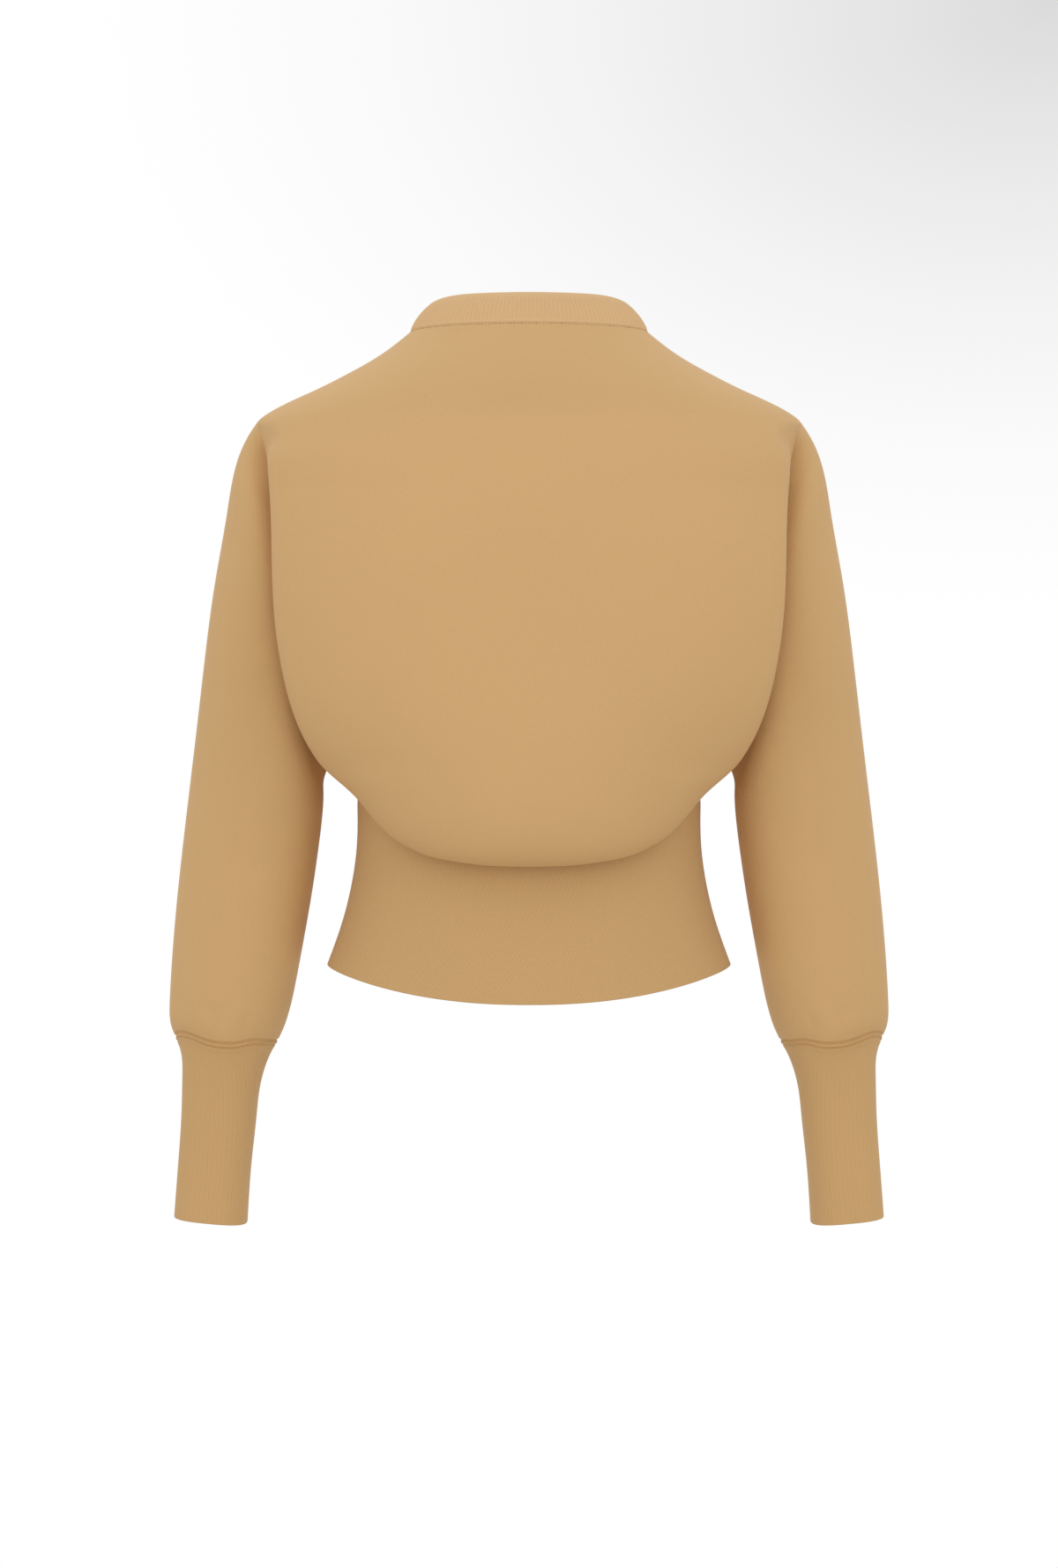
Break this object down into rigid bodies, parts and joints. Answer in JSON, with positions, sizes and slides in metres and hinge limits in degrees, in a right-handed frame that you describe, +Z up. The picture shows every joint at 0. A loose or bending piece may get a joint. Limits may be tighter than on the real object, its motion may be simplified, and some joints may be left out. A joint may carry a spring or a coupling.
{
  "type": "knitted cardigan",
  "caption": "Hollow camel jersey cardigan, filled out as worn, with a blousing back over a deep waistband, low-set full sleeves, long cuffs, a ribbed stand collar and a buttoned front.",
  "frame": {"origin": "middle of the neck's base, between the two neck points of the shoulder seams", "axes": "+Z up, -Y towards the front, +X towards the wearer's left"},
  "size_m": [0.5216, 0.2504, 0.6705],
  "materials": {
    "jersey": "matte, soft brushed fine-gauge jersey",
    "rib": "matte fine rib knit",
    "button": "polished resin"
  },
  "bodies": {
    "root": {"back": "jersey", "back_fold_left": "jersey", "back_fold_right": "jersey", "back_shoulder": "jersey", "back_under": "jersey", "front_left": "jersey", "front_left_fold": "jersey", "front_left_shoulder": "jersey", "front_left_under": "jersey", "front_right": "jersey", "front_right_fold": "jersey", "front_right_shoulder": "jersey", "front_right_under": "jersey", "sleeve_left_lower_back": "jersey", "sleeve_left_lower_front": "jersey", "sleeve_left_upper_back": "jersey", "sleeve_left_upper_front": "jersey", "sleeve_right_lower_back": "jersey", "sleeve_right_lower_front": "jersey", "sleeve_right_upper_back": "jersey", "sleeve_right_upper_front": "jersey", "collar": "rib", "waistband": "rib", "cuff_left": "rib", "cuff_right": "rib", "button_band": "rib", "buttonhole_band": "rib", "button_1": "button", "button_2": "button", "button_3": "button", "button_4": "button", "button_5": "button", "button_6": "button", "button_7": "button", "button_8": "button"}
  },
  "joints": []
}
